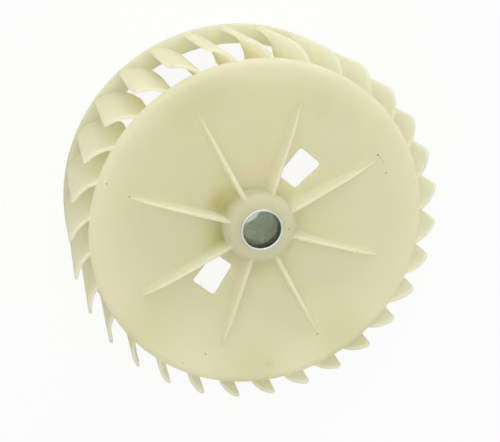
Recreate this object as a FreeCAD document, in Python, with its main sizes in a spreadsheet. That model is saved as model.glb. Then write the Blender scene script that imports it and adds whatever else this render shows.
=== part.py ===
# Blower wheel: a dished backplate with a ribbed hub, a cage of curved blades closed by an
# inlet ring, moulded in one piece round a plain metal shaft bush.
# Frame: +Z is the shaft axis and points out of the backplate, and the origin is on the axis
# in the plane of the inlet ring's free face, which the wheel rests on.

import FreeCAD, Part
import math
import os
import Sketcher

# Driving dimensions, in millimetres and degrees. The two that the others are measured from
# are the disc's radius and the height of its crown.
SIZES = {
    # Backplate: a shallow dish inside a rounded rim.
    "disc_radius": 70.0,
    "crown_height": 51.9,
    "shoulder_round": 2.5,
    "rim_depth": 2.9,
    "dish_curve": 157.0,
    "wall": 1.7,
    # Inlet ring: the flat annulus that closes the cage of blades at the open side.
    "ring_lap": 0.4,
    "ring_reach": 8.0,
    "ring_thick": 2.0,
    # Blades: one circular-arc section, thinner to the front, where the mould draws off. Their
    # foot and head are the inner edge at the open side and at the plate.
    "blade_count": 30,
    "blade_drop": 1.1,
    "blade_reach": 7.9,
    "blade_thick": 2.2,
    "blade_draft": 0.23,
    "blade_curve": 15.0,
    "blade_sweep": 7.2,
    "blade_foot_lap": 8.5,
    "blade_head_lap": 10.0,
    "tip_round": 1.6,
    # Hub: a thick collar with a rounded brow in front and a plain tube behind.
    "hub_radius": 15.3,
    "hub_drop": 1.9,
    "hub_length": 32.2,
    "hub_round": 3.0,
    "hub_fillet": 2.5,
    "tube_radius": 13.2,
    "tube_fillet": 2.0,
    # Ribs: thin fins across the dish, level with the hub and curved down to the plate.
    "rib_count": 8,
    "rib_thick": 1.8,
    "rib_drop": 2.2,
    "rib_bend_lap": 25.0,
    "rib_tip_lap": 12.5,
    # The two openings in the dish, each in the middle between two ribs.
    "window_count": 2,
    "window_turn": 22.5,
    "window_inner": 21.3,
    "window_outer": 36.1,
    "window_inner_width": 10.3,
    "window_outer_width": 12.0,
    "window_round": 1.2,
    # Shaft bush: a plain sleeve moulded into the hub, a little proud at both ends.
    "bush_bore": 8.0,
    "bush_radius": 9.0,
    "bush_proud": 0.2,
    "bush_chamfer": 0.3,
}

# Radii and heights that lie a stated way in, out or down from the disc's edge and crown.
RING_INNER = "(Sizes.disc_radius - Sizes.ring_lap)"
RING_OUTER = "(Sizes.disc_radius + Sizes.ring_reach)"
BLADE_TIP = "(Sizes.disc_radius + Sizes.blade_reach)"
BLADE_FOOT = "(Sizes.disc_radius - Sizes.blade_foot_lap)"
BLADE_HEAD = "(Sizes.disc_radius - Sizes.blade_head_lap)"
BLADE_FRONT = "(Sizes.crown_height - Sizes.blade_drop)"
HUB_TOP = "(Sizes.crown_height - Sizes.hub_drop)"
HUB_BOTTOM = "(Sizes.crown_height - Sizes.hub_drop - Sizes.hub_length)"
RIB_TOP = "(Sizes.crown_height - Sizes.rib_drop)"
RIB_BEND = "(Sizes.disc_radius - Sizes.rib_bend_lap)"
RIB_TIP = "(Sizes.disc_radius - Sizes.rib_tip_lap)"

# The dish's front face, its back face and the line half-way between share this centre,
# which lies on the axis so that the front face runs tangent into the rounded rim.
RIM_CENTRE_Z = "(Sizes.crown_height - Sizes.shoulder_round)"
RIM_CENTRE_X = "(Sizes.disc_radius - Sizes.shoulder_round)"
DISH_CENTRE_Z = (
    f"({RIM_CENTRE_Z} + sqrt((Sizes.dish_curve + Sizes.shoulder_round) ^ 2 - {RIM_CENTRE_X} ^ 2))"
)
MID_WALL_CURVE = "(Sizes.dish_curve + Sizes.wall / 2)"

doc = FreeCAD.newDocument("blower_wheel")


def make_sheet():
    sheet = doc.addObject("Spreadsheet::Sheet", "Sizes")
    for row, (name, value) in enumerate(SIZES.items(), start=1):
        sheet.set(f"A{row}", name)
        sheet.set(f"B{row}", str(value))
        sheet.setAlias(f"B{row}", name)
    doc.recompute()
    return sheet


# How far out from the axis, in from the disc's edge, and how high below the crown.
def outward(name):
    return SIZES["disc_radius"] + SIZES[name]


def inward(name):
    return SIZES["disc_radius"] - SIZES[name]


def below_crown(name):
    return SIZES["crown_height"] - SIZES[name]


def point(x, y):
    return FreeCAD.Vector(x, y, 0)


def polar(radius, degrees):
    angle = math.radians(degrees)
    return point(radius * math.cos(angle), radius * math.sin(angle))


def axis_plane(body, role):
    for feature in body.Origin.OriginFeatures:
        if feature.Role == role:
            return feature


class Outline:
    """A sketch whose corners are joined and whose sizes follow the sheet."""

    def __init__(self, body, name, plane):
        self.sketch = body.newObject("Sketcher::SketchObject", name)
        self.sketch.AttachmentSupport = [(axis_plane(body, plane), "")]
        self.sketch.MapMode = "FlatFace"

    def line(self, start, end, construction=False):
        return self.sketch.addGeometry(Part.LineSegment(start, end), construction)

    def arc(self, centre, start, end, construction=False):
        # Counter-clockwise from start to end.
        radius = (start - centre).Length
        first = math.atan2(start.y - centre.y, start.x - centre.x)
        last = math.atan2(end.y - centre.y, end.x - centre.x)
        circle = Part.Circle(centre, FreeCAD.Vector(0, 0, 1), radius)
        return self.sketch.addGeometry(Part.ArcOfCircle(circle, first, last), construction)

    def circle(self, radius):
        ring = Part.Circle(FreeCAD.Vector(0, 0, 0), FreeCAD.Vector(0, 0, 1), radius)
        return self.sketch.addGeometry(ring, False)

    def tie(self, kind, *places):
        self.sketch.addConstraint(Sketcher.Constraint(kind, *places))

    def size(self, name, formula, kind, *places):
        index = self.sketch.addConstraint(Sketcher.Constraint(kind, *places))
        self.sketch.renameConstraint(index, name)
        self.sketch.setExpression(f"Constraints.{name}", formula)

    def place(self, axis, formula):
        self.sketch.setExpression(f"AttachmentOffset.{axis}", formula)


# Names for the parts of a sketch element and for the two axes, as the sketcher numbers them.
START, END, CENTRE = range(1, 4)
LEVEL_AXIS, UPRIGHT_AXIS = range(-1, -3, -1)
ORIGIN = (LEVEL_AXIS, START)


def add_pad(body, outline, name, formula, symmetric=False):
    pad = body.newObject("PartDesign::Pad", name)
    pad.Profile = outline.sketch
    pad.SideType = "Symmetric" if symmetric else "One side"
    pad.setExpression("Length", formula)
    return pad


def add_turn(body, kind, outline, name):
    turn = body.newObject(kind, name)
    turn.Profile = outline.sketch
    turn.ReferenceAxis = (outline.sketch, ["V_Axis"])
    turn.Angle = 360
    return turn


def add_repeat(body, feature, name, count):
    repeat = body.newObject("PartDesign::PolarPattern", name)
    repeat.Originals = [feature]
    repeat.Axis = (axis_plane(body, "Z_Axis"), [""])
    repeat.Angle = 360
    repeat.setExpression("Occurrences", count)
    body.Tip = repeat
    return repeat


def ring_outline(body, name, inner, outer, height):
    outline = Outline(body, name, "XY_Plane")
    for label, formula, radius in (("inner", *inner), ("outer", *outer)):
        circle = outline.circle(radius)
        outline.tie("Coincident", circle, CENTRE, *ORIGIN)
        outline.size(label, formula, "Radius", circle, radius)
    outline.place("Base.z", height)
    return outline


# The blade's section in the plane of the ring's free face: two arcs about one centre, a
# rounded tip and a square inner end. Its middle line crosses the disc's edge on the X axis
# and reaches the tip circle at the sweep angle.
def blade_outline(body):
    disc, half = SIZES["disc_radius"], SIZES["blade_thick"] / 2
    curve, sweep = SIZES["blade_curve"], SIZES["blade_sweep"]
    root = point(disc, 0)
    tip = polar(outward("blade_reach") - half, sweep)
    chord = tip - root
    across = point(-chord.y, chord.x).normalize()
    rise = math.sqrt(curve ** 2 - (chord.Length / 2) ** 2)
    centre = (root + tip) * 0.5 + across * rise

    # The inner end is where the middle line, carried on inwards, meets its own circle.
    reach = inward("blade_head_lap") - half
    span = centre.Length
    along = (reach ** 2 - curve ** 2 + span ** 2) / (2 * span)
    aside = math.sqrt(reach ** 2 - along ** 2)
    toward = point(centre.x, centre.y).normalize()
    inner = toward * along + point(toward.y, -toward.x) * aside

    def offset(place, shift):
        return centre + (place - centre).normalize() * (curve + shift)

    outline = Outline(body, "blade_section", "XY_Plane")
    middle = outline.arc(centre, inner, tip, True)
    back = outline.arc(centre, offset(inner, half), offset(tip, half))
    face = outline.arc(centre, offset(inner, -half), offset(tip, -half))
    cap = outline.arc(tip, offset(tip, half), offset(tip, -half))
    end = outline.line(offset(inner, -half), offset(inner, half))
    reach_line = outline.line(point(0, 0), tip, True)
    root_line = outline.line(point(0, 0), root, True)

    outline.tie("Coincident", back, CENTRE, middle, CENTRE)
    outline.tie("Coincident", face, CENTRE, middle, CENTRE)
    outline.tie("Coincident", cap, CENTRE, middle, END)
    outline.tie("Coincident", reach_line, START, *ORIGIN)
    outline.tie("Coincident", reach_line, END, middle, END)
    outline.tie("Coincident", root_line, START, *ORIGIN)
    outline.tie("Horizontal", root_line)
    outline.tie("PointOnObject", root_line, END, middle)
    outline.tie("Coincident", end, END, back, START)
    outline.tie("PointOnObject", middle, START, end)
    outline.tie("Perpendicular", end, START, face, START)
    outline.tie("Tangent", cap, START, back, END)
    outline.tie("Tangent", cap, END, face, END)
    outline.size("disc", "Sizes.disc_radius", "Distance", root_line, disc)
    outline.size("tip", f"{BLADE_TIP} - Sizes.blade_thick / 2", "Distance", reach_line, tip.Length)
    outline.size("sweep", "Sizes.blade_sweep", "Angle", root_line, START, reach_line, START,
                 math.radians(sweep))
    outline.size("curve", "Sizes.blade_curve", "Radius", middle, curve)
    outline.size("back", "Sizes.blade_curve + Sizes.blade_thick / 2", "Radius", back, curve + half)
    outline.size("head", f"{BLADE_HEAD} - Sizes.blade_thick / 2", "Distance",
                 *ORIGIN, middle, START, reach)
    return outline


# What is turned away outside the blades: the rounded corner between each tip and its front.
def tip_outline(body):
    radius = SIZES["tip_round"]
    tip, front = outward("blade_reach"), below_crown("blade_drop")
    clear = SIZES["wall"]
    centre = point(tip - radius, front - radius)

    outline = Outline(body, "tip_corner", "XZ_Plane")
    bend = outline.arc(centre, point(tip, centre.y), point(centre.x, front))
    rise = outline.line(point(centre.x, front), point(centre.x, front + clear))
    lid = outline.line(point(centre.x, front + clear), point(tip + clear, front + clear))
    side = outline.line(point(tip + clear, front + clear), point(tip + clear, centre.y))
    floor = outline.line(point(tip + clear, centre.y), point(tip, centre.y))
    loop = (bend, rise, lid, side, floor)
    for first, second in zip(loop, loop[1:]):
        outline.tie("Coincident", first, END, second, START)
    outline.tie("Coincident", floor, END, bend, START)
    outline.tie("Vertical", rise)
    outline.tie("Horizontal", lid)
    outline.tie("Vertical", side)
    outline.tie("Horizontal", floor)
    outline.tie("Vertical", bend, CENTRE, rise, START)
    outline.tie("Horizontal", bend, CENTRE, floor, END)
    outline.size("tip", BLADE_TIP, "DistanceX", *ORIGIN, floor, END, tip)
    outline.size("front", BLADE_FRONT, "DistanceY", *ORIGIN, bend, END, front)
    outline.size("round", "Sizes.tip_round", "Radius", bend, radius)
    outline.size("clear_side", "Sizes.wall", "DistanceX", floor, END, side, END, clear)
    outline.size("clear_top", "Sizes.wall", "DistanceY", rise, START, rise, END, clear)
    return outline


def dish_centre():
    rim = SIZES["disc_radius"] - SIZES["shoulder_round"]
    reach = SIZES["dish_curve"] + SIZES["shoulder_round"]
    return point(0, SIZES["crown_height"] - SIZES["shoulder_round"] + math.sqrt(reach ** 2 - rim ** 2))


def on_dish(radius, curve):
    centre = dish_centre()
    return point(radius, centre.y - math.sqrt(curve ** 2 - radius ** 2))


# What is turned away from inside the blades: their inner edges lean in a little from the
# open side to the plate, and their heads end in the middle of the plate's wall. It starts
# one wall below the open side.
def trim_outline(body):
    foot, floor = inward("blade_foot_lap"), -SIZES["wall"]
    curve = SIZES["dish_curve"] + SIZES["wall"] / 2
    rim = SIZES["disc_radius"] - SIZES["shoulder_round"]
    top = SIZES["crown_height"] + SIZES["wall"]
    head = on_dish(inward("blade_head_lap"), curve)
    edge = on_dish(rim, curve)

    outline = Outline(body, "blade_trim", "XZ_Plane")
    base = outline.line(point(0, floor), point(foot, floor))
    lean = outline.line(point(foot, floor), head)
    plate = outline.arc(dish_centre(), head, edge)
    rise = outline.line(edge, point(rim, top))
    lid = outline.line(point(rim, top), point(0, top))
    core = outline.line(point(0, top), point(0, floor))
    loop = (base, lean, plate, rise, lid, core)
    for first, second in zip(loop, loop[1:] + loop[:1]):
        outline.tie("Coincident", first, END, second, START)
    outline.tie("Horizontal", base)
    outline.tie("Vertical", rise)
    outline.tie("Horizontal", lid)
    outline.tie("PointOnObject", core, START, UPRIGHT_AXIS)
    outline.tie("PointOnObject", core, END, UPRIGHT_AXIS)
    outline.tie("PointOnObject", plate, CENTRE, UPRIGHT_AXIS)
    outline.size("foot", BLADE_FOOT, "DistanceX", *ORIGIN, base, END, foot)
    outline.size("floor", "-Sizes.wall", "DistanceY", *ORIGIN, base, END, floor)
    outline.size("head", BLADE_HEAD, "DistanceX", *ORIGIN, lean, END, head.x)
    outline.size("centre", DISH_CENTRE_Z, "DistanceY", *ORIGIN, plate, CENTRE, dish_centre().y)
    outline.size("curve", MID_WALL_CURVE, "Radius", plate, curve)
    outline.size("rim", RIM_CENTRE_X, "DistanceX", *ORIGIN, rise, START, rim)
    outline.size("top", "Sizes.crown_height + Sizes.wall", "DistanceY", *ORIGIN, lid, END, top)
    return outline


# Half the section of the plate and hub, counter-clockwise from the foot of the hub's bore.
def plate_outline(body):
    bore, tube, hub = SIZES["bush_radius"], SIZES["tube_radius"], SIZES["hub_radius"]
    disc, shoulder = SIZES["disc_radius"], SIZES["shoulder_round"]
    curve, wall = SIZES["dish_curve"], SIZES["wall"]
    hub_round, hub_fillet, tube_fillet = SIZES["hub_round"], SIZES["hub_fillet"], SIZES["tube_fillet"]
    top = below_crown("hub_drop")
    bottom = top - SIZES["hub_length"]
    centre = dish_centre()
    rim_floor = SIZES["crown_height"] - SIZES["rim_depth"]

    # Fillet centres: each is one fillet away from the hub's wall and from the dish's arc.
    under = point(tube + tube_fillet, 0)
    under.y = centre.y - math.sqrt((curve + wall + tube_fillet) ** 2 - under.x ** 2)
    over = point(hub + hub_fillet, 0)
    over.y = centre.y - math.sqrt((curve - hub_fillet) ** 2 - over.x ** 2)
    crown = point(disc - shoulder, SIZES["crown_height"] - shoulder)
    brow = point(hub - hub_round, top - hub_round)
    under_touch = centre + (under - centre).normalize() * (curve + wall)
    over_touch = centre + (over - centre).normalize() * curve
    crown_touch = centre + (crown - centre).normalize() * curve
    under_rim = point(math.sqrt((curve + wall) ** 2 - (centre.y - rim_floor) ** 2), rim_floor)

    outline = Outline(body, "plate_section", "XZ_Plane")
    foot = outline.line(point(bore, bottom), point(tube, bottom))
    tube_wall = outline.line(point(tube, bottom), point(tube, under.y))
    tube_bend = outline.arc(under, under_touch, point(tube, under.y))
    back = outline.arc(centre, under_touch, under_rim)
    floor = outline.line(under_rim, point(disc, rim_floor))
    edge = outline.line(point(disc, rim_floor), point(disc, crown.y))
    rim = outline.arc(crown, point(disc, crown.y), crown_touch)
    front = outline.arc(centre, over_touch, crown_touch)
    hub_bend = outline.arc(over, point(hub, over.y), over_touch)
    hub_wall = outline.line(point(hub, over.y), point(hub, brow.y))
    hub_brow = outline.arc(brow, point(hub, brow.y), point(brow.x, top))
    face = outline.line(point(brow.x, top), point(bore, top))
    core = outline.line(point(bore, top), point(bore, bottom))

    joints = (
        ("Coincident", foot, END, tube_wall, START),
        ("Tangent", tube_wall, END, tube_bend, END),
        ("Tangent", tube_bend, START, back, START),
        ("Coincident", back, END, floor, START),
        ("Coincident", floor, END, edge, START),
        ("Tangent", edge, END, rim, START),
        ("Tangent", rim, END, front, END),
        ("Tangent", front, START, hub_bend, END),
        ("Tangent", hub_bend, START, hub_wall, START),
        ("Tangent", hub_wall, END, hub_brow, START),
        ("Tangent", hub_brow, END, face, START),
        ("Coincident", face, END, core, START),
        ("Coincident", core, END, foot, START),
        ("Horizontal", foot),
        ("Vertical", tube_wall),
        ("Horizontal", floor),
        ("Vertical", edge),
        ("Vertical", hub_wall),
        ("Horizontal", face),
        ("Vertical", core),
        ("PointOnObject", front, CENTRE, UPRIGHT_AXIS),
        ("Coincident", back, CENTRE, front, CENTRE),
    )
    for joint in joints:
        outline.tie(*joint)
    outline.size("bore", "Sizes.bush_radius", "DistanceX", *ORIGIN, core, END, bore)
    outline.size("bottom", HUB_BOTTOM, "DistanceY", *ORIGIN, foot, START, bottom)
    outline.size("tube", "Sizes.tube_radius", "DistanceX", *ORIGIN, foot, END, tube)
    outline.size("tube_fillet", "Sizes.tube_fillet", "Radius", tube_bend, tube_fillet)
    outline.size("back", "Sizes.dish_curve + Sizes.wall", "Radius", back, curve + wall)
    outline.size("rim_floor", "Sizes.crown_height - Sizes.rim_depth", "DistanceY",
                 *ORIGIN, floor, END, rim_floor)
    outline.size("disc", "Sizes.disc_radius", "DistanceX", *ORIGIN, edge, START, disc)
    outline.size("shoulder", "Sizes.shoulder_round", "Radius", rim, shoulder)
    outline.size("crown", RIM_CENTRE_Z, "DistanceY", *ORIGIN, rim, CENTRE, crown.y)
    outline.size("dish", "Sizes.dish_curve", "Radius", front, curve)
    outline.size("hub_fillet", "Sizes.hub_fillet", "Radius", hub_bend, hub_fillet)
    outline.size("hub", "Sizes.hub_radius", "DistanceX", *ORIGIN, hub_wall, END, hub)
    outline.size("hub_round", "Sizes.hub_round", "Radius", hub_brow, hub_round)
    outline.size("top", HUB_TOP, "DistanceY", *ORIGIN, face, END, top)
    return outline


# One rib, on the plane through the axis: level from inside the hub's wall, then an arc down
# into the plate, with its foot in the middle of the plate's wall.
def rib_outline(body):
    inside = (SIZES["bush_radius"] + SIZES["hub_radius"]) / 2
    curve = SIZES["dish_curve"] + SIZES["wall"] / 2
    top, level_end = below_crown("rib_drop"), inward("rib_bend_lap")
    root, tip = on_dish(inside, curve), on_dish(inward("rib_tip_lap"), curve)
    fall = top - tip.y
    bend = ((tip.x - level_end) ** 2 + fall ** 2) / (2 * fall)

    outline = Outline(body, "rib_side", "XZ_Plane")
    foot = outline.arc(dish_centre(), root, tip)
    slope = outline.arc(point(level_end, top - bend), tip, point(level_end, top))
    level = outline.line(point(level_end, top), point(inside, top))
    back = outline.line(point(inside, top), root)
    outline.tie("Coincident", foot, END, slope, START)
    outline.tie("Tangent", slope, END, level, START)
    outline.tie("Coincident", level, END, back, START)
    outline.tie("Coincident", back, END, foot, START)
    outline.tie("Horizontal", level)
    outline.tie("Vertical", back)
    outline.tie("PointOnObject", foot, CENTRE, UPRIGHT_AXIS)
    outline.size("inside", "(Sizes.bush_radius + Sizes.hub_radius) / 2", "DistanceX",
                 *ORIGIN, back, START, inside)
    outline.size("top", RIB_TOP, "DistanceY", *ORIGIN, back, START, top)
    outline.size("level_end", RIB_BEND, "DistanceX", *ORIGIN, level, START, level_end)
    outline.size("tip", RIB_TIP, "DistanceX", *ORIGIN, slope, START, tip.x)
    outline.size("curve", MID_WALL_CURVE, "Radius", foot, curve)
    outline.size("centre", DISH_CENTRE_Z, "DistanceY", *ORIGIN, foot, CENTRE, dish_centre().y)
    return outline


# One opening through the plate, drawn about the X axis: straight inner and outer edges, a
# little wider outwards, with rounded corners. The widths are those of the sharp corners.
def window_outline(body):
    near, far = SIZES["window_inner"], SIZES["window_outer"]
    half_near, half_far = SIZES["window_inner_width"] / 2, SIZES["window_outer_width"] / 2
    radius = SIZES["window_round"]
    corners = (point(near, -half_near), point(far, -half_far), point(far, half_far), point(near, half_near))

    bends = []
    for index, corner in enumerate(corners):
        back = (corners[index - 1] - corner).normalize()
        ahead = (corners[(index + 1) % 4] - corner).normalize()
        half_angle = back.getAngle(ahead) / 2
        centre = corner + (back + ahead).normalize() * (radius / math.sin(half_angle))
        reach = radius / math.tan(half_angle)
        bends.append((centre, corner + back * reach, corner + ahead * reach))

    outline = Outline(body, "window", "XY_Plane")
    sides = []
    rounds = []
    points = []
    for index, (centre, start, end) in enumerate(bends):
        rounds.append(outline.arc(centre, start, end))
        sides.append(outline.line(end, bends[(index + 1) % 4][1]))
        points.append(outline.sketch.addGeometry(Part.Point(corners[index]), True))
    for index in range(4):
        outline.tie("Tangent", rounds[index], END, sides[index], START)
        outline.tie("Tangent", sides[index - 1], END, rounds[index], START)
        outline.tie("PointOnObject", points[index], START, sides[index])
        outline.tie("PointOnObject", points[index], START, sides[index - 1])
    for other in rounds[1:]:
        outline.tie("Equal", rounds[0], other)
    low_near, low_far, high_far, high_near = points
    outline.tie("Symmetric", low_near, START, high_near, START, LEVEL_AXIS)
    outline.tie("Symmetric", low_far, START, high_far, START, LEVEL_AXIS)
    outline.size("corner", "Sizes.window_round", "Radius", rounds[0], radius)
    outline.size("near", "Sizes.window_inner", "DistanceX", *ORIGIN, low_near, START, near)
    outline.size("far", "Sizes.window_outer", "DistanceX", *ORIGIN, low_far, START, far)
    outline.size("near_width", "Sizes.window_inner_width", "DistanceY",
                 low_near, START, high_near, START, 2 * half_near)
    outline.size("far_width", "Sizes.window_outer_width", "DistanceY",
                 low_far, START, high_far, START, 2 * half_far)
    outline.place("Base.z", "Sizes.crown_height")
    outline.place("Rotation.Angle", "Sizes.window_turn")
    return outline


def make_wheel():
    body = doc.addObject("PartDesign::Body", "blower_wheel")
    inner = (RING_INNER, inward("ring_lap"))
    outer = (RING_OUTER, outward("ring_reach"))
    ring = ring_outline(body, "ring_face", inner, outer, "0")
    add_pad(body, ring, "inlet_ring", "Sizes.ring_thick")

    blade = add_pad(body, blade_outline(body), "blade", BLADE_FRONT)
    blade.setExpression("TaperAngle", "-Sizes.blade_draft")
    add_repeat(body, blade, "blades", "Sizes.blade_count")
    add_turn(body, "PartDesign::Groove", tip_outline(body), "blade_tips")
    add_turn(body, "PartDesign::Groove", trim_outline(body), "blade_heads")
    add_turn(body, "PartDesign::Revolution", plate_outline(body), "plate_and_hub")

    rib = add_pad(body, rib_outline(body), "rib", "Sizes.rib_thick", symmetric=True)
    add_repeat(body, rib, "ribs", "Sizes.rib_count")

    window = body.newObject("PartDesign::Pocket", "window_cut")
    window.Profile = window_outline(body).sketch
    window.Type = "Length"
    window.setExpression("Length", "Sizes.hub_drop + Sizes.hub_length")
    add_repeat(body, window, "windows", "Sizes.window_count")
    return body


def make_bush():
    body = doc.addObject("PartDesign::Body", "shaft_bush")
    inner = ("Sizes.bush_bore", SIZES["bush_bore"])
    outer = ("Sizes.bush_radius", SIZES["bush_radius"])
    ring = ring_outline(body, "bush_face", inner, outer, f"{HUB_BOTTOM} - Sizes.bush_proud")
    sleeve = add_pad(body, ring, "sleeve", "Sizes.hub_length + 2 * Sizes.bush_proud")
    doc.recompute()

    rims = []
    for number, edge in enumerate(sleeve.Shape.Edges, start=1):
        if edge.Curve.TypeId == "Part::GeomCircle":
            rims.append(f"Edge{number}")
    chamfer = body.newObject("PartDesign::Chamfer", "sleeve_ends")
    chamfer.Base = (sleeve, rims)
    chamfer.setExpression("Size", "Sizes.bush_chamfer")
    return body


def check(bodies):
    for item in doc.Objects:
        if "Invalid" in item.State or "Error" in item.State:
            raise RuntimeError(f"{item.Name} failed to build: {item.State}")
    for body in bodies:
        shape = body.Shape
        if shape.isNull() or not shape.isValid() or len(shape.Solids) != 1:
            raise RuntimeError(f"{body.Label} is not one valid solid")
        print(f"{body.Label}: {shape.Volume:.0f} cubic mm")


def main():
    make_sheet()
    bodies = [make_wheel(), make_bush()]
    doc.recompute()
    check(bodies)
    os.makedirs("parts", exist_ok=True)
    for body in bodies:
        body.Shape.exportStep(f"parts/{body.Label}.step")


main()
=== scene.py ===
import math

import bpy
import numpy as np
from mathutils import Matrix, Vector


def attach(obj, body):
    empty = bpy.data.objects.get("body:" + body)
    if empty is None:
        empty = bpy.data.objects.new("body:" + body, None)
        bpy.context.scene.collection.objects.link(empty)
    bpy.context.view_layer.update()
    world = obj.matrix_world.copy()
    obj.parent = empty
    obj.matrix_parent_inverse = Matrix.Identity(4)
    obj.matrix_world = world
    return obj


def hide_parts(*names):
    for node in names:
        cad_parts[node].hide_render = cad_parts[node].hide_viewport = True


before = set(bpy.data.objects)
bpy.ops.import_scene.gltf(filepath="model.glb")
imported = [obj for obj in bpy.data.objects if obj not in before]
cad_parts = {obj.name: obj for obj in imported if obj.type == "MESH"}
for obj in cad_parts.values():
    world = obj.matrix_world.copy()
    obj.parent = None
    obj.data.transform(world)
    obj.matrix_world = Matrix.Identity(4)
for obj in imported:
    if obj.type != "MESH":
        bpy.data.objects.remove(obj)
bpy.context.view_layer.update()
print("frame loaded:", sorted(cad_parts))

mm = 0.001


# Mesh helpers. Every shape is worked out in millimetres.

def arcPoints(centre, radius, first, last, count):
    # centre + radius * (cos, sin) of an angle that runs from first to last, in degrees
    angle = np.radians(np.linspace(first, last, count))
    return np.stack([centre[0] + radius * np.cos(angle), centre[1] + radius * np.sin(angle)], axis=1)


def linePoints(start, end, count):
    # start + (end - start) * t, without the two ends
    t = np.linspace(0, 1, count + 2)[1:-1, None]
    return np.array(start) + (np.array(end) - np.array(start)) * t


def gridQuads(rows, columns, closedRows, closedColumns):
    # one quad between each point of a grid, its neighbour in the row and the same two in the next row
    r = np.arange(rows if closedRows else rows - 1)[:, None]
    c = np.arange(columns if closedColumns else columns - 1)[None, :]
    nextR, nextC = (r + 1) % rows, (c + 1) % columns
    corners = [r * columns + c, r * columns + nextC, nextR * columns + nextC, nextR * columns + c]
    return np.stack([np.broadcast_to(k, (len(r), c.shape[1])) for k in corners], axis=-1).reshape(-1, 4)


def signedVolume(points, faces):
    # a sixth of the sum of a . (b x c) over the faces' triangles
    total = 0.0
    for face in (faces[:, [0, 1, 2]], faces[:, [0, 2, 3]]):
        a, b, c = points[face[:, 0]], points[face[:, 1]], points[face[:, 2]]
        total += np.einsum("ij,ij->i", a, np.cross(b, c)).sum() / 6
    return total


def makeObject(name, points, quads):
    # a quad whose last two corners are the same point is a triangle
    if signedVolume(points, quads) < 0:
        quads = quads[:, ::-1]
    faces = []
    for quad in quads.tolist():
        faces.append(list(dict.fromkeys(quad)))
    mesh = bpy.data.meshes.new(name)
    mesh.from_pydata((points * mm).tolist(), [], faces)
    mesh.validate()
    piece = bpy.data.objects.new(name, mesh)
    bpy.context.scene.collection.objects.link(piece)
    return piece


def turnedCopies(points, quads, angles):
    # the same points turned about Z by each angle, one after the other in one array
    cos, sin = np.cos(angles)[:, None], np.sin(angles)[:, None]
    x = points[:, 0] * cos - points[:, 1] * sin
    y = points[:, 0] * sin + points[:, 1] * cos
    z = np.broadcast_to(points[:, 2], x.shape)
    step = (np.arange(len(angles)) * len(points))[:, None, None]
    return np.stack([x, y, z], axis=-1).reshape(-1, 3), (quads[None] + step).reshape(-1, 4)


def revolve(profile, columns):
    # (r cos a, r sin a, z) for each point (r, z) of a closed profile
    angle = np.arange(columns) * 2 * math.pi / columns
    r, z = profile[:, 0][:, None], profile[:, 1][:, None]
    points = np.stack([r * np.cos(angle), r * np.sin(angle), z + 0 * angle], axis=-1)
    return points.reshape(-1, 3), gridQuads(len(profile), columns, True, True)


def combine(base, other, operation):
    # base joined with other, or cut by it, with other used up
    change = base.modifiers.new("combine", "BOOLEAN")
    change.operation = operation
    change.solver = "MANIFOLD"
    change.object = other
    graph = bpy.context.evaluated_depsgraph_get()
    mesh = bpy.data.meshes.new_from_object(base.evaluated_get(graph))
    base.modifiers.clear()
    base.data = mesh
    bpy.data.objects.remove(other)


# Backplate and hub: one section turned about the shaft axis.

plate = {
    "discRadius": 70.0, "crown": 51.9, "shoulder": 2.5, "rimDepth": 2.9, "dishCurve": 157.0, "wall": 1.7,
    "hubRadius": 15.3, "hubTop": 50.0, "brow": 3.0, "hubFillet": 2.5, "hubBottom": 17.8, "bore": 9.0,
    "tubeRadius": 13.2, "tubeFillet": 2.0, "edge": 0.4, "boreFoot": 0.2, "boreMouth": 0.25,
    "columns": 192, "backPoints": 30, "frontPoints": 44, "crease": 34,
}
rimCentre = (plate["discRadius"] - plate["shoulder"], plate["crown"] - plate["shoulder"])
dishCentre = rimCentre[1] + math.sqrt((plate["dishCurve"] + plate["shoulder"]) ** 2 - rimCentre[0] ** 2)


def dishHeight(radius, depth=0.0):
    # the dish's front face is a sphere about a point high on the axis; depth goes into the wall
    return dishCentre - np.sqrt((plate["dishCurve"] + depth) ** 2 - np.square(radius))


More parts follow.
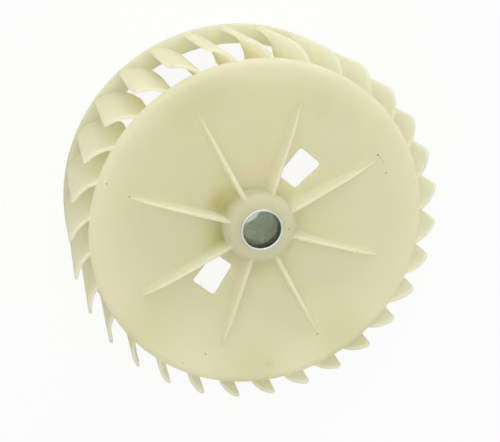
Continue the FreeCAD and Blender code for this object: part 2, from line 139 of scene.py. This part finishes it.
def plateProfile():
    # lines and arcs in the (radius, height) plane, counter-clockwise from the foot of the bore
    p = plate
    bottom, top = p["hubBottom"], p["hubTop"]
    edge, foot, mouth = p["edge"], p["boreFoot"], p["boreMouth"]
    back = p["dishCurve"] + p["wall"]
    rimFloor = p["crown"] - p["rimDepth"]
    # centres of the fillets under and over the dish
    underRadius = p["tubeRadius"] + p["tubeFillet"]
    under = (underRadius, dishCentre - math.sqrt((back + p["tubeFillet"]) ** 2 - underRadius ** 2))
    overRadius = p["hubRadius"] + p["hubFillet"]
    over = (overRadius, dishCentre - math.sqrt((p["dishCurve"] - p["hubFillet"]) ** 2 - overRadius ** 2))
    # where the fillets and the rim's shoulder touch the dish
    underAngle = math.degrees(math.atan2(dishCentre - under[1], -under[0]))
    overAngle = math.degrees(math.atan2(over[1] - dishCentre, over[0]))
    underTouch = under[0] * back / (back + p["tubeFillet"])
    overTouch = over[0] * p["dishCurve"] / (p["dishCurve"] - p["hubFillet"])
    crownTouch = rimCentre[0] * p["dishCurve"] / (p["dishCurve"] + p["shoulder"])
    crownAngle = math.degrees(math.atan2(dishCentre - rimCentre[1], -rimCentre[0]))
    rimTouch = math.sqrt(back ** 2 - (dishCentre - rimFloor) ** 2)
    backRadii = np.linspace(underTouch, rimTouch, p["backPoints"])[1:]
    frontRadii = np.linspace(crownTouch, overTouch, p["frontPoints"])[1:-1]
    return np.concatenate([
        arcPoints((p["bore"] + foot, bottom + foot), foot, 180, 270, 4),
        arcPoints((p["tubeRadius"] - edge, bottom + edge), edge, -90, 0, 5),
        linePoints((p["tubeRadius"], bottom + edge), (p["tubeRadius"], under[1]), 6),
        arcPoints(under, p["tubeFillet"], 180, underAngle, 7),
        np.stack([backRadii, dishHeight(backRadii, p["wall"])], axis=1),
        arcPoints((p["discRadius"] - edge, rimFloor + edge), edge, -90, 0, 5)[:-1],
        arcPoints(rimCentre, p["shoulder"], 0, crownAngle, 15),
        np.stack([frontRadii, dishHeight(frontRadii)], axis=1),
        arcPoints(over, p["hubFillet"], overAngle, -180, 9),
        linePoints((p["hubRadius"], over[1]), (p["hubRadius"], top - p["brow"]), 4),
        arcPoints((p["hubRadius"] - p["brow"], top - p["brow"]), p["brow"], 0, 90, 11),
        arcPoints((p["bore"] + mouth, top - mouth), mouth, 90, 180, 4),
        linePoints((p["bore"], top - mouth), (p["bore"], bottom + foot), 5),
    ])


# Inlet ring: a flat annulus with rounded edges.

ring = {"inner": 69.6, "outer": 77.97, "thick": 2.0, "edge": 0.55, "columns": 240}


def ringProfile():
    # a rectangle from inner to outer radius, its four corners rounded
    edge, high = ring["edge"], ring["thick"]
    inner, outer = ring["inner"] + edge, ring["outer"] - edge
    return np.concatenate([
        arcPoints((inner, edge), edge, 180, 270, 5),
        linePoints((inner, 0.0), (outer, 0.0), 3),
        arcPoints((outer, edge), edge, -90, 0, 5),
        arcPoints((outer, high - edge), edge, 0, 90, 5),
        linePoints((outer, high), (inner, high), 3),
        arcPoints((inner, high - edge), edge, 90, 180, 5),
    ])


# Blades: one curved vane, thinner to the front, repeated round the axis. Foot and head are the
# radii of its inner edge below and above. Lean is how much of the lost thickness shifts the vane.

blade = {
    "count": 30, "front": 50.8, "tip": 77.9, "thick": 2.2, "frontThick": 1.35, "lean": 0.22,
    "curve": 15.0, "sweep": 7.2, "foot": 61.5, "head": 60.0,
    "corner": 1.6, "edge": 0.45, "innerRound": 0.5, "floor": 0.02, "alongPoints": 19,
    "lowRows": [0.0, 0.06, 0.2, 0.45], "middleStart": 0.6, "middleEnd": 3.6, "middleRows": 9,
    "topRows": [3.0, 1.6, 1.25, 0.95, 0.7, 0.45, 0.3, 0.17, 0.07, 0.0],
}


def roundIn(distance, radius):
    # how far a rounded edge is drawn in at this distance from its end
    near = np.clip(radius - distance, 0, radius)
    return radius - np.sqrt(radius ** 2 - near ** 2)


def bladeVane():
    # A point is centre + (curve + across) * direction(angle): across runs to half the thickness on
    # both sides, and the angle from the inner edge to the tip. Both shrink near the rounded ends.
    # To the front the vane gets thinner, mostly on its hollow side.
    b = blade
    root = np.array([plate["discRadius"], 0.0])
    sweep = math.radians(b["sweep"])
    tip = (b["tip"] - b["thick"] / 2) * np.array([math.cos(sweep), math.sin(sweep)])
    chord = tip - root
    length = np.hypot(*chord)
    side = np.array([-chord[1], chord[0]]) / length
    centre = (root + tip) / 2 + side * math.sqrt(b["curve"] ** 2 - (length / 2) ** 2)
    span = np.hypot(*centre)
    toAxis = math.atan2(-centre[1], -centre[0])
    toRoot = math.atan2(root[1] - centre[1], root[0] - centre[0])

    def turnAt(radius):
        # angle at the arc's centre between the shaft axis and the point of the arc at that radius
        return np.arccos((span ** 2 + b["curve"] ** 2 - radius ** 2) / (2 * span * b["curve"]))

    # rows of heights: distance above the floor, share of the plain height, distance below the top
    low = np.array(b["lowRows"])
    share = np.linspace(0, 1, b["middleRows"])
    below = np.array(b["topRows"])
    lastLow, lastMiddle = len(low), len(low) + len(share)
    rows = lastMiddle + len(below)
    middle = b["middleStart"] + share * (b["front"] - b["middleStart"] - b["middleEnd"])
    nominal = np.concatenate([low, middle, b["front"] - below])[:, None]
    far = b["front"]  # further than any rounding reaches
    toTop = np.concatenate([np.full(lastMiddle, far), below])[:, None]
    toFloor = np.concatenate([low, np.full(rows - lastLow, far)])[:, None]

    # along the vane: close together near both ends, out on one side and back on the other
    u = 0.5 - 0.5 * np.cos(np.linspace(0, math.pi, b["alongPoints"]))
    u = np.concatenate([u, u[-2::-1]])
    sign = np.concatenate([np.ones(b["alongPoints"]), -np.ones(b["alongPoints"] - 1)])
    sign[b["alongPoints"] - 1] = 0

    inset = roundIn(toTop, b["edge"]) + roundIn(toFloor, b["edge"])
    height = np.clip(nominal / b["front"], 0, 1)
    half = (b["thick"] + (b["frontThick"] - b["thick"]) * height) / 2 - inset
    inner = turnAt(b["foot"] + (b["head"] - b["foot"]) * height) + inset / b["curve"]
    reach = b["tip"] - b["thick"] / 2 - roundIn(toTop, b["corner"])
    outer = turnAt(reach) + (half - inset) / b["curve"]
    full = (outer - inner) * b["curve"]
    s = full * u
    tipShape = np.sqrt(np.clip(1 - np.square(np.clip((s - (full - half)) / half, 0, 1)), 0, 1))
    across = sign * np.clip(np.minimum(half - roundIn(s, b["innerRound"]), half * tipShape), 0, None)
    across = across + (b["thick"] - b["frontThick"]) * height * b["lean"]
    angle = toAxis + np.sign(math.sin(toRoot - toAxis)) * (inner + s / b["curve"])
    x = centre[0] + (b["curve"] + across) * np.cos(angle)
    y = centre[1] + (b["curve"] + across) * np.sin(angle)
    radius = np.hypot(x, y)
    top = np.minimum(b["front"], dishHeight(np.minimum(radius, rimCentre[0]), plate["wall"] / 2))
    z = np.concatenate([
        b["floor"] + low[:, None] + 0 * x[:lastLow],
        b["floor"] + b["middleStart"] + share[:, None] * (top[lastLow:lastMiddle] - b["middleEnd"]),
        top[lastMiddle:] - below[:, None],
    ])
    points = np.stack([x, y, z], axis=-1).reshape(-1, 3)
    count = x.shape[1]
    i = np.arange(b["alongPoints"] - 1)
    cap = np.stack([i, i + 1, np.minimum(count - 2 - i, count - 1), count - 1 - i], axis=1)
    cap[-1, 2] = cap[-1, 1]
    quads = [gridQuads(rows, count, False, True), cap[:, ::-1], cap + (rows - 1) * count]
    return points, np.concatenate(quads)


# Ribs: thin fins that run from the hub across the dish. The shares are of the rib's rise over the
# dish, under is of the wall's depth, and the last two set how the rows crowd toward the tip.

rib = {
    "count": 8, "thick": 1.7, "tipThick": 0.7, "thinFrom": 15.0, "thinTo": 57.0,
    "top": 49.7, "levelEnd": 38.0, "start": 11.5, "tip": 57.2, "tipGap": 0.15,
    "foot": 1.8, "footSink": 0.08, "footShare": 0.5, "footEnd": 268, "footPoints": 7,
    "crest": 0.5, "crestShare": 0.45, "crestPoints": 5, "leastRise": 0.05, "under": 0.55,
    "rows": 56, "evenShare": 0.45, "closeShare": 0.55,
}


def ribFin():
    # Across the rib: its flat crest with rounded shoulders, a straight flank, and a foot that
    # bends out to the dish. Along it: level, then an arc down into the dish's wall.
    b = rib
    end = float(dishHeight(b["tip"], plate["wall"] / 2))
    fall = b["top"] - end
    bend = ((b["tip"] - b["levelEnd"]) ** 2 + fall ** 2) / (2 * fall)
    # rows along it, closer together toward the tip
    t = np.linspace(0, 1, b["rows"])
    spread = b["evenShare"] * t + b["closeShare"] * np.sin(t * math.pi / 2)
    r = (b["start"] + (b["tip"] - b["tipGap"] - b["start"]) * spread)[:, None]
    past = np.clip(r - b["levelEnd"], 0, None)
    top = b["top"] - (bend - np.sqrt(bend ** 2 - past ** 2))
    rise = np.clip(top - dishHeight(r), b["leastRise"], None)
    thinned = (r - b["thinFrom"]) / (b["thinTo"] - b["thinFrom"])
    half = (b["thick"] + (b["tipThick"] - b["thick"]) * thinned) / 2
    crest = np.minimum(b["crest"], rise * b["crestShare"])
    foot = np.minimum(b["foot"], rise * b["footShare"])
    down = np.radians(np.linspace(90, 0, b["crestPoints"]))[None, :]
    out = np.radians(np.linspace(180, b["footEnd"], b["footPoints"]))[None, :]
    crestY = half - crest + crest * np.cos(down)
    crestZ = top - crest + crest * np.sin(down)
    footY = half + foot * (1 + np.cos(out))
    footZ = dishHeight(np.hypot(r, footY)) + foot * (1 + np.sin(out)) - b["footSink"] * foot
    underY = half + foot + 0 * r
    underZ = dishHeight(r, plate["wall"] * b["under"]) + 0 * r
    y = np.concatenate([0 * r, crestY, footY, underY], axis=1)
    z = np.maximum(np.concatenate([top, crestZ, footZ, underZ], axis=1), underZ)
    # the other side is the same, mirrored
    y = np.concatenate([y, -y[:, :0:-1]], axis=1)
    z = np.concatenate([z, z[:, :0:-1]], axis=1)
    points = np.stack([r + 0 * y, y, z], axis=-1).reshape(-1, 3)
    rows, count = y.shape
    i = np.arange((count + 1) // 2 - 1)
    cap = np.stack([i, i + 1, count - i - 1, (count - i) % count], axis=1)
    quads = [gridQuads(rows, count, False, True), cap[:, ::-1], cap + (rows - 1) * count]
    return points, np.concatenate(quads)


# Windows: the two openings through the dish, their edges rounded. Edge rows are shares of the edge.

window = {
    "turns": (22.5, 202.5), "near": 21.3, "far": 36.1, "nearWidth": 10.3, "farWidth": 12.0,
    "corner": 1.3, "cornerPoints": 6, "edge": 0.45, "edgeRows": [0.0, 0.04, 0.12, 0.28, 0.55, 1.0],
    "deep": 6.0, "clear": 0.05, "above": [0.3, 2.0],
}


def windowCutter():
    # The opening's outline is pushed out by the edge's rounding where it meets a face of the dish.
    w = window
    # heights over the dish's front face: below its wall, the wall's two edges, and above it
    below = [-w["deep"], -plate["wall"] - w["clear"]]
    edgeDepths = np.array(w["edgeRows"]) * w["edge"]
    dz = np.concatenate([below, edgeDepths - plate["wall"], -edgeDepths[::-1], w["above"]])
    toFace = np.clip(np.minimum(-dz, dz + plate["wall"]), 0, w["edge"])
    push = (w["edge"] - np.sqrt(w["edge"] ** 2 - (w["edge"] - toFace) ** 2))[:, None]
    # each corner: its place, the way in from it along and across, and where its arc starts
    corners = [
        (w["near"], -w["nearWidth"] / 2, 1, 1, 180), (w["far"], -w["farWidth"] / 2, -1, 1, 270),
        (w["far"], w["farWidth"] / 2, -1, -1, 0), (w["near"], w["nearWidth"] / 2, 1, -1, 90),
    ]
    columnsX, columnsY = [], []
    for cornerX, cornerY, inX, inY, start in corners:
        angle = np.radians(np.linspace(start, start + 90, w["cornerPoints"]))[None, :]
        grown = w["corner"] + push
        columnsX.append(cornerX + inX * w["corner"] + grown * np.cos(angle))
        columnsY.append(cornerY + inY * w["corner"] + grown * np.sin(angle))
    x, y = np.concatenate(columnsX, axis=1), np.concatenate(columnsY, axis=1)
    z = dishHeight(np.hypot(x, y)) + dz[:, None]
    points = np.stack([x, y, z], axis=-1).reshape(-1, 3)
    rows, count = x.shape
    i = np.arange(count // 2 - 1)
    cap = np.stack([i, i + 1, count - 2 - i, count - 1 - i], axis=1)
    quads = [gridQuads(rows, count, False, True), cap[:, ::-1], cap + (rows - 1) * count]
    return points, np.concatenate(quads)


# Shaft bush: a turned sleeve, a little proud of the hub at both ends.

bush = {"bore": 8.0, "radius": 9.0, "low": 17.6, "high": 50.2, "chamfer": 0.3, "columns": 128, "crease": 40}


def bushProfile():
    # a rectangle with its four corners rounded
    inside, outside, edge = bush["bore"], bush["radius"], bush["chamfer"]
    low, high = bush["low"] + edge, bush["high"] - edge
    return np.concatenate([
        arcPoints((inside + edge, low), edge, 180, 270, 4),
        arcPoints((outside - edge, low), edge, -90, 0, 4),
        linePoints((outside, low), (outside, high), 6),
        arcPoints((outside - edge, high), edge, 0, 90, 4),
        arcPoints((inside + edge, high), edge, 90, 180, 4),
        linePoints((inside, high), (inside, low), 10),
    ])


def smoothPiece(piece, degrees):
    # shade smooth, with a crease where two faces meet at more than the given angle
    piece.data.polygons.foreach_set("use_smooth", np.ones(len(piece.data.polygons), dtype=bool))
    piece.data.set_sharp_from_angle(angle=math.radians(degrees))
    piece.data.update()


moulding = makeObject("wheel_moulding", *revolve(plateProfile(), plate["columns"]))
finAngles = np.arange(rib["count"]) * 2 * math.pi / rib["count"]
combine(moulding, makeObject("ribs", *turnedCopies(*ribFin(), finAngles)), "UNION")
windowAngles = np.radians(window["turns"])
combine(moulding, makeObject("windows", *turnedCopies(*windowCutter(), windowAngles)), "DIFFERENCE")
bladeAngles = np.arange(blade["count"]) * 2 * math.pi / blade["count"]
combine(moulding, makeObject("blades", *turnedCopies(*bladeVane(), bladeAngles)), "UNION")
combine(moulding, makeObject("ring", *revolve(ringProfile(), ring["columns"])), "UNION")
smoothPiece(moulding, plate["crease"])
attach(moulding, "root")
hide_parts("blower_wheel")
print("moulding:", len(moulding.data.polygons), "faces")

sleeve = makeObject("bush_sleeve", *revolve(bushProfile(), bush["columns"]))
smoothPiece(sleeve, bush["crease"])
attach(sleeve, "root")
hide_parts("shaft_bush")
print("bush:", len(sleeve.data.polygons), "faces")


# Materials.

class Number:
    # a socket that can be used in a Python expression; each operator adds one Math node
    def __init__(self, nodes, socket):
        self.nodes, self.socket = nodes, socket

    def maths(self, operation, *others):
        values = {0: self}
        for index, other in enumerate(others, start=1):
            values[index] = other
        return self.nodes.add("ShaderNodeMath", {"operation": operation}, values)

    def __add__(self, other):
        return self.maths("ADD", other)

    def __mul__(self, other):
        return self.maths("MULTIPLY", other)

    def __rsub__(self, other):
        return self.nodes.add("ShaderNodeMath", {"operation": "SUBTRACT"}, {0: other, 1: self})

    __radd__ = __add__
    __rmul__ = __mul__

    def fade(self, start, end):
        # 0 below start, 1 above end, smooth between
        settings = {"interpolation_type": "SMOOTHSTEP"}
        sockets = {"Value": self, "From Min": start, "From Max": end}
        return self.nodes.add("ShaderNodeMapRange", settings, sockets)


class Nodes:
    # the node tree of a new material, or a tree that is there already, emptied
    def __init__(self, name, tree=None):
        if tree is None:
            self.material = bpy.data.materials.new(name)
            self.material.use_nodes = True
            tree = self.material.node_tree
        self.tree = tree
        self.tree.nodes.clear()

    def add(self, kind, settings=None, sockets=None, output=0):
        # makes a node: first its settings, then the values or links of its sockets
        node = self.tree.nodes.new(kind)
        for name, value in (settings or {}).items():
            setattr(node, name, value)
        for name, value in (sockets or {}).items():
            self.put(node.inputs[name], value)
        return Number(self, node.outputs[output]) if node.outputs else None

    def put(self, socket, value):
        # links a node's output to a socket, or sets a plain value on it
        if isinstance(value, Number):
            self.tree.links.new(value.socket, socket)
        else:
            socket.default_value = value

    def mixColour(self, factor, first, second):
        # first + (second - first) * factor: sockets 6 and 7 and output 2 are a Mix node's colours
        return self.add("ShaderNodeMix", {"data_type": "RGBA"}, {0: factor, 6: first, 7: second}, 2)

    def nearness(self, place, centre, inner, outer):
        # 1 within the inner distance of a point given in millimetres, 0 beyond the outer one
        point = tuple(part * mm for part in centre)
        away = self.add("ShaderNodeVectorMath", {"operation": "DISTANCE"}, {0: place, 1: point}, "Value")
        return 1 - away.fade(inner * mm, outer * mm)

    def finish(self, shader):
        self.add("ShaderNodeOutputMaterial", None, {"Surface": shader})
        return self.material


def colour(red, green, blue):
    # the linear colour of an sRGB colour given from 0 to 255
    values = []
    for part in (red / 255, green / 255, blue / 255):
        values.append(part / 12.92 if part <= 0.04045 else ((part + 0.055) / 1.055) ** 2.4)
    return (*values, 1.0)


# Plastic: fades of clouds are noise values, the others are distances in millimetres.
plasticLook = {
    "cream": colour(251, 248, 227), "olive": colour(247, 243, 212), "pale": colour(252, 250, 234),
    "cloudScale": 28.0, "oliveFade": (0.42, 0.75), "oliveShare": 0.35,
    "paleFade": (0.55, 0.25), "paleShare": 0.3,
    # painted light: the blade cage is painted paler, with a paler tint through it, to lift the shade inside
    # it
    "cage": colour(251, 251, 232), "cageShare": 0.6, "cageThrough": colour(254, 253, 241),
    "cageFade": (67.0, 71.0),
    # painted light: the ribs are painted paler, with a paler tint through them, for their flanks catching
    # the light
    "rib": colour(254, 252, 231), "ribLightThrough": colour(255, 253, 239), "ribFade": (3.0, 0.3),
    "hub": colour(251, 249, 218), "hubShare": 0.8, "hubFade": (15.5, 18.0),
    "subsurface": 0.3, "radius": (1.0, 0.92, 0.6), "scatterSize": 0.002,
    "roughness": 0.5, "cloudRoughness": 0.08, "sheen": 0.35,
    "grainScale": 900.0, "grainStrength": 0.06, "grainDepth": 0.0004,
    "through": 0.65, "throughTint": colour(254, 252, 237),
}

# Stains and painted shade: for each its centre and reach in millimetres, and how strong it is. The hub's
# corner, side and foot marks are painted shade where the hub's wall meets the dish, and the lower, left
# and bottom rim marks are painted shade on the rim's shoulder turned from the light. Solid is the share of
# the reach that is full, even and clouded mix in the clouds, and dimming holds light back.
stainsAndShade = {
    "colour": colour(206, 204, 140), "solid": 0.1, "even": 0.7, "clouded": 0.6, "dimming": 0.5,
    "marks": {
        # painted shade: the hub's corner, side and foot marks, and the lower, left and bottom rim marks
        "hubCornerShade": ((-8.0, 14.0, 38.0), 11.0, 1.0), "hubSideShade": ((-15.0, 2.0, 38.0), 12.0, 0.9),
        "hubLeft": ((-11.0, -3.0, 49.0), 10.0, 0.25), "hubRight": ((9.0, 9.0, 49.5), 8.0, 0.2),
        "hubFootShade": ((-8.0, -20.0, 38.0), 9.0, 0.4), "windowSide": ((-27.5, -11.0, 40.0), 8.0, 0.25),
        "lowerRimShade": ((-33.0, -54.0, 49.0), 24.0, 0.42), "upperRim": ((4.0, 62.0, 49.0), 22.0, 0.22),
        "rightRim": ((46.0, 33.0, 47.5), 18.0, 0.2), "smearLow": ((-25.3, -57.1, 49.8), 3.2, 0.25),
        "leftRimShade": ((-64.0, -12.0, 50.5), 26.0, 0.32), "bottomRimShade": ((8.0, -66.0, 50.5), 24.0, 0.36),
    },
}

# Dark specks: for each its centre and reach in millimetres.
specks = {
    "colour": colour(38, 34, 24), "solid": 0.6,
    "places": [
        ((-43.8, 50.3, 51.8), 0.3), ((-39.3, 39.8, 47.2), 0.3), ((57.4, 2.0, 47.8), 0.4),
        ((57.9, 0.6, 47.9), 0.25), ((58.0, -0.8, 48.0), 0.25), ((58.2, -2.2, 48.1), 0.25),
        ((57.3, -6.9, 47.9), 0.3), ((-0.6, -57.8, 47.9), 0.35), ((-46.6, -37.4, 48.7), 0.3),
        ((-56.4, -34.1, 51.4), 0.25), ((31.4, -31.8, 49.3), 0.3), ((10.0, -5.7, 49.9), 0.3),
        ((8.7, 11.8, 49.9), 0.25), ((-1.0, 76.9, 50.4), 0.22), ((-0.1, 76.8, 50.4), 0.24),
        ((0.7, 76.5, 50.5), 0.2), ((-16.8, 75.6, 50.2), 0.25), ((-15.9, 75.9, 50.2), 0.22),
    ],
}


def markMask(nodes, place, marks, solid):
    # the sum of all marks at a point, at most 1: a mark is full up to a share of its reach, then fades
    total = 0.0
    for centre, reach, strength in marks:
        total = total + nodes.nearness(place, centre, reach * solid, reach) * strength
    return total.maths("MINIMUM", 1.0)


def plasticMaterial():
    # Cream with faint clouds, the cage and ribs painted paler as painted light, a yellower hub, then stains,
    # painted shade and specks on top. Light passes through most of it, less where it is stained or shaded.
    look = plasticLook
    nodes = Nodes("moulded_plastic")
    place = nodes.add("ShaderNodeTexCoord", None, None, "Object")
    cloud = nodes.add("ShaderNodeTexNoise", None, {
        "Vector": place, "Scale": look["cloudScale"], "Detail": 3.0,
    })
    grain = nodes.add("ShaderNodeTexNoise", None, {
        "Vector": place, "Scale": look["grainScale"], "Detail": 2.0,
    })

    # zones: the cage by distance from the axis, the ribs by their rise over the dish, and the hub; cage and
    # ribs get painted light
    level = nodes.add("ShaderNodeVectorMath", {"operation": "MULTIPLY"}, {0: place, 1: (1.0, 1.0, 0.0)})
    axis, dishPoint = (0.0, 0.0, 0.0), (0.0, 0.0, dishCentre)
    cage = 1 - nodes.nearness(level, axis, *look["cageFade"])
    hub = nodes.nearness(level, axis, *look["hubFade"])
    ribFull, ribNone = [plate["dishCurve"] - rise for rise in look["ribFade"]]
    ribLight = nodes.nearness(place, dishPoint, ribFull, ribNone) * (1 - hub)
    stainAndShade = markMask(nodes, place, stainsAndShade["marks"].values(), stainsAndShade["solid"])
    stainAndShade = stainAndShade * (stainsAndShade["even"] + cloud * stainsAndShade["clouded"])
    dirty = markMask(nodes, place, [(*speck, 1.0) for speck in specks["places"]], specks["solid"])

    base = nodes.mixColour(cloud.fade(*look["oliveFade"]) * look["oliveShare"], look["cream"], look["olive"])
    base = nodes.mixColour(cloud.fade(*look["paleFade"]) * look["paleShare"], base, look["pale"])
    # painted light: the blade cage painted paler to lift the shade inside it
    base = nodes.mixColour(cage * look["cageShare"], base, look["cage"])
    # painted light: the ribs painted paler for their lit flanks
    base = nodes.mixColour(ribLight, base, look["rib"])
    base = nodes.mixColour(hub * look["hubShare"], base, look["hub"])
    # stains, and painted shade at the hub's foot and on the rim
    base = nodes.mixColour(stainAndShade, base, stainsAndShade["colour"])
    base = nodes.mixColour(dirty, base, specks["colour"])
    tint = nodes.mixColour(cage, look["throughTint"], look["cageThrough"])
    tint = nodes.mixColour(ribLight, tint, look["ribLightThrough"])

    bump = nodes.add("ShaderNodeBump", None, {
        "Height": grain, "Strength": look["grainStrength"], "Distance": look["grainDepth"],
    })
    shader = nodes.add("ShaderNodeBsdfPrincipled", {"subsurface_method": "RANDOM_WALK"}, {
        "Base Color": base, "Roughness": look["roughness"] + cloud * look["cloudRoughness"], "Normal": bump,
        "Subsurface Weight": look["subsurface"], "Subsurface Radius": look["radius"],
        "Subsurface Scale": look["scatterSize"], "Specular IOR Level": look["sheen"],
    })
    behind = nodes.add("ShaderNodeBsdfTranslucent", None, {"Color": tint, "Normal": bump})
    share = look["through"] * (1 - stainAndShade * stainsAndShade["dimming"]) * (1 - dirty)
    return nodes.finish(nodes.add("ShaderNodeMixShader", None, {0: share, 1: shader, 2: behind}))


# Bush: heights in millimetres at which one tone gives way to the next.
bushLook = {
    "metal": colour(184, 192, 188), "dull": colour(160, 170, 172), "dullScale": 220.0,
    "dullFade": (0.35, 0.75), "dullShare": 0.5, "dullRoughness": 0.15, "metallic": 0.9, "roughness": 0.2,
    "deep": colour(178, 202, 206), "deepHeights": (24.0, 44.0),
    # painted reflection: a dark band near the top of the bore
    "darkReflection": colour(104, 112, 104), "darkReflectionHeights": (44.6, 45.6),
    # painted highlight: the end face painted paler
    "end": colour(196, 202, 194), "endHighlightHeights": (49.86, 49.94),
    "grooveScale": (60.0, 60.0, 2400.0), "grooveStrength": 0.12, "grooveDepth": 0.0002,
}


def bushMaterial():
    # turned rings along the sleeve, dull patches, cooler deep down, a painted dark reflection near the top
    # and a painted highlight on the end
    look = bushLook
    nodes = Nodes("turned_metal")
    place = nodes.add("ShaderNodeTexCoord", None, None, "Object")
    stretched = nodes.add("ShaderNodeMapping", None, {"Vector": place, "Scale": look["grooveScale"]})
    grooves = nodes.add("ShaderNodeTexNoise", None, {"Vector": stretched, "Scale": 1.0, "Detail": 2.0})
    dull = nodes.add("ShaderNodeTexNoise", None, {
        "Vector": place, "Scale": look["dullScale"], "Detail": 2.0,
    })
    height = nodes.add("ShaderNodeSeparateXYZ", None, {"Vector": place}, "Z")

    def above(low, high):
        # 0 below the lower height, 1 above the higher one
        return height.fade(low * mm, high * mm)

    base = nodes.mixColour(dull.fade(*look["dullFade"]) * look["dullShare"], look["metal"], look["dull"])
    base = nodes.mixColour(1 - above(*look["deepHeights"]), base, look["deep"])
    # painted reflection: the dark band near the top of the bore
    base = nodes.mixColour(above(*look["darkReflectionHeights"]), base, look["darkReflection"])
    # painted highlight: the paler end face
    base = nodes.mixColour(above(*look["endHighlightHeights"]), base, look["end"])
    bump = nodes.add("ShaderNodeBump", None, {
        "Height": grooves, "Strength": look["grooveStrength"], "Distance": look["grooveDepth"],
    })
    return nodes.finish(nodes.add("ShaderNodeBsdfPrincipled", None, {
        "Base Color": base, "Metallic": look["metallic"], "Normal": bump,
        "Roughness": look["roughness"] + dull * look["dullRoughness"],
    }))


moulding.data.materials.clear()
moulding.data.materials.append(plasticMaterial())
sleeve.data.materials.clear()
sleeve.data.materials.append(bushMaterial())
print("materials made")


# Floor, world, lamps and camera.

stageLook = {
    "floorHalf": 2.2, "floorLow": -0.0002, "floorColour": colour(244, 244, 242), "seenWhite": 0.88,
    "boreSpot": (1.7, -14.4, 0.0), "boreFade": (6.0, 15.0), "boreTone": colour(186, 203, 188),
    "worldLight": 0.54, "worldColour": (1.0, 1.0, 0.985, 1.0), "white": (1.0, 1.0, 1.0, 1.0),
}


def makeFloor():
    # A matte floor that the camera sees nearly white, with a grey-green shade painted on it where it
    # shows through the bore.
    half, low = stageLook["floorHalf"], stageLook["floorLow"]
    mesh = bpy.data.meshes.new("floor")
    corners = [(-half, -half, low), (half, -half, low), (half, half, low), (-half, half, low)]
    mesh.from_pydata(corners, [], [(0, 1, 2, 3)])
    floor = bpy.data.objects.new("floor", mesh)
    bpy.context.scene.collection.objects.link(floor)
    nodes = Nodes("pale_floor")
    place = nodes.add("ShaderNodeTexCoord", None, None, "Object")
    shade = nodes.nearness(place, stageLook["boreSpot"], *stageLook["boreFade"])
    tone = nodes.mixColour(shade, stageLook["white"], stageLook["boreTone"])
    seen = nodes.add("ShaderNodeLightPath", None, None, "Is Camera Ray")
    matte = nodes.add("ShaderNodeBsdfDiffuse", None, {"Color": stageLook["floorColour"]})
    glow = nodes.add("ShaderNodeEmission", None, {"Color": tone, "Strength": 1.0})
    shader = nodes.add("ShaderNodeMixShader", None, {0: seen * stageLook["seenWhite"], 1: matte, 2: glow})
    mesh.materials.append(nodes.finish(shader))


def makeWorld():
    # Even light from all round, as in a light tent. The camera, and what mirrors or clearly lets
    # through the surroundings, sees plain white, but light that the plastic scatters doesn't.
    world = bpy.data.worlds.new("studio")
    bpy.context.scene.world = world
    world.use_nodes = True
    nodes = Nodes("studio", world.node_tree)
    light = nodes.add("ShaderNodeBackground", None, {
        "Color": stageLook["worldColour"], "Strength": stageLook["worldLight"],
    })
    white = nodes.add("ShaderNodeBackground", None, {"Color": stageLook["white"], "Strength": 1.0})
    seen = nodes.add("ShaderNodeLightPath", None, None, "Is Camera Ray")
    mirrored = nodes.add("ShaderNodeLightPath", None, None, "Is Glossy Ray")
    through = nodes.add("ShaderNodeLightPath", None, None, "Is Transmission Ray")
    scattered = nodes.add("ShaderNodeLightPath", None, None, "Is Diffuse Ray")
    seen = seen.maths("MAXIMUM", mirrored).maths("MAXIMUM", through * (1 - scattered))
    shader = nodes.add("ShaderNodeMixShader", None, {0: seen, 1: light, 2: white})
    nodes.add("ShaderNodeOutputWorld", None, {"Surface": shader})


# Soft boxes: where they stand round the wheel and above the floor in degrees, how far off in
# metres, their width and height, and their power.
lamps = {
    "low": {"around": 43, "above": 12, "away": 1.6, "wide": 1.3, "tall": 0.65, "power": 9.6},
    "high": {"around": 92, "above": 55, "away": 1.3, "wide": 1.1, "tall": 0.9, "power": 4.8},
    "side": {"around": 258, "above": 34, "away": 1.3, "wide": 0.9, "tall": 0.7, "power": 0.8},
    "top": {"around": 90, "above": 88, "away": 1.2, "wide": 0.8, "tall": 0.8, "power": 1.4},
}
wheelMiddle = Vector((0, 0, 0.03))  # what they point at


def makeLamps():
    # place = away * (cos(around) cos(above), sin(around) cos(above), sin(above)), aimed at the wheel
    for name, lamp in lamps.items():
        light = bpy.data.lights.new(name, "AREA")
        light.shape = "RECTANGLE"
        light.size, light.size_y = lamp["wide"], lamp["tall"]
        light.energy = lamp["power"]
        around, above = math.radians(lamp["around"]), math.radians(lamp["above"])
        level = lamp["away"] * math.cos(above)
        height = lamp["away"] * math.sin(above)
        place = Vector((level * math.cos(around), level * math.sin(around), height))
        holder = bpy.data.objects.new(name, light)
        holder.location = place
        holder.rotation_mode = "QUATERNION"
        holder.rotation_quaternion = (wheelMiddle - place).to_track_quat("-Z", "Y")
        bpy.context.scene.collection.objects.link(holder)


# The camera stands over the plate, turned so that the picture's top is where the photo has it.
cameraView = {
    "place": (-19.66, 139.5, 355.4), "lens": 59.04, "sensor": 36.0, "clip": (0.01, 20.0),
    "right": (0.8636, -0.4426, 0.2413), "up": (0.5014, 0.8030, -0.3222), "back": (-0.0512, 0.3993, 0.9154),
}


def makeCamera():
    camera = bpy.data.cameras.new("camera")
    camera.sensor_fit = "HORIZONTAL"
    camera.sensor_width = cameraView["sensor"]
    camera.lens = cameraView["lens"]
    camera.clip_start, camera.clip_end = cameraView["clip"]
    holder = bpy.data.objects.new("camera", camera)
    turn = Matrix((cameraView["right"], cameraView["up"], cameraView["back"])).transposed()
    holder.rotation_mode = "QUATERNION"
    holder.rotation_quaternion = turn.to_quaternion()
    holder.location = Vector(cameraView["place"]) * mm
    bpy.context.scene.collection.objects.link(holder)
    bpy.context.scene.camera = holder


makeFloor()
makeWorld()
makeLamps()
makeCamera()
bpy.context.scene.view_settings.view_transform = "Standard"
print("stage made")
